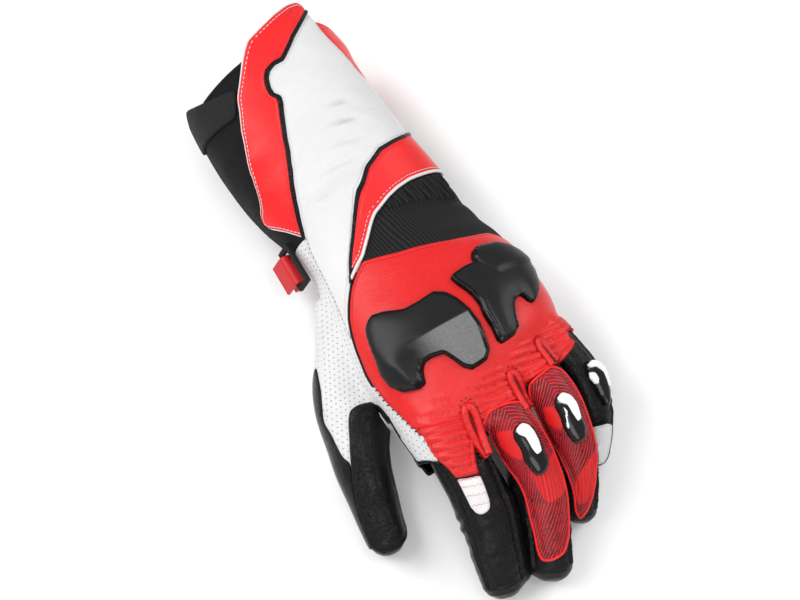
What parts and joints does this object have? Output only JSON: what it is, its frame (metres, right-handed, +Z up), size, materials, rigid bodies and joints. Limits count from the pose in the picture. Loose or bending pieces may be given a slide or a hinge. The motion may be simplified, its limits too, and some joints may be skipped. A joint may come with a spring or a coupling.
{
  "type": "motorcycle glove",
  "caption": "Left-hand leather motorcycle glove with a long lapped cuff, knuckle guards and finger sliders, lying palm down with the fingers curled.",
  "frame": {"origin": "centre of the bounding box in X and Y, at the level of the surface that the glove lies on", "axes": "+Z up from the surface, +Y from the fingertips to the open end of the cuff, +X to the little-finger side"},
  "size_m": [0.1516, 0.3243, 0.0712],
  "materials": {
    "red_leather": "red full-grain leather, satin",
    "white_leather": "white leather, partly perforated, satin",
    "black_leather": "black leather, satin",
    "black_fabric": "black knit and webbing, dull",
    "armour": "moulded black armour, half gloss",
    "white_plastic": "white moulded inlay, glossy",
    "printed_leather": "dark red leather with a raised line pattern"
  },
  "bodies": {
    "root": {"index_finger": "black_leather", "middle_finger": "black_leather", "ring_finger": "black_leather", "little_finger": "black_leather", "thumb": "white_leather", "wrist_stretch_panel": "black_fabric", "hand_back": "red_leather", "palm": "white_leather", "inner_cuff": "black_fabric", "gauntlet_flap": "red_leather", "gauntlet_back": "white_leather", "gauntlet_side": "red_leather", "wrist_wedge": "red_leather", "gauntlet_ribbon": "black_leather", "wedge_border": "black_leather", "wedge_piping": "white_leather", "back_edge_seam": "black_leather", "closure_strap": "black_fabric", "wrist_strap": "black_fabric", "strap_loop": "armour", "strap_tab": "red_leather", "large_knuckle_guard": "armour", "small_knuckle_guard": "armour", "knuckle_roll_1": "red_leather", "knuckle_roll_2": "red_leather", "knuckle_roll_3": "red_leather", "index_stretch_panel": "red_leather", "index_end_panel": "white_leather", "index_side_panel": "white_leather", "middle_finger_panel": "printed_leather", "ring_finger_panel": "printed_leather", "little_finger_panel": "white_leather", "thumb_panel": "black_leather", "thumb_side_panel": "black_leather", "middle_finger_slider": "armour", "middle_finger_inlay": "white_plastic", "ring_finger_slider": "armour", "ring_finger_inlay": "white_plastic", "little_finger_slider": "armour", "little_finger_inlay": "white_plastic"}
  },
  "joints": []
}
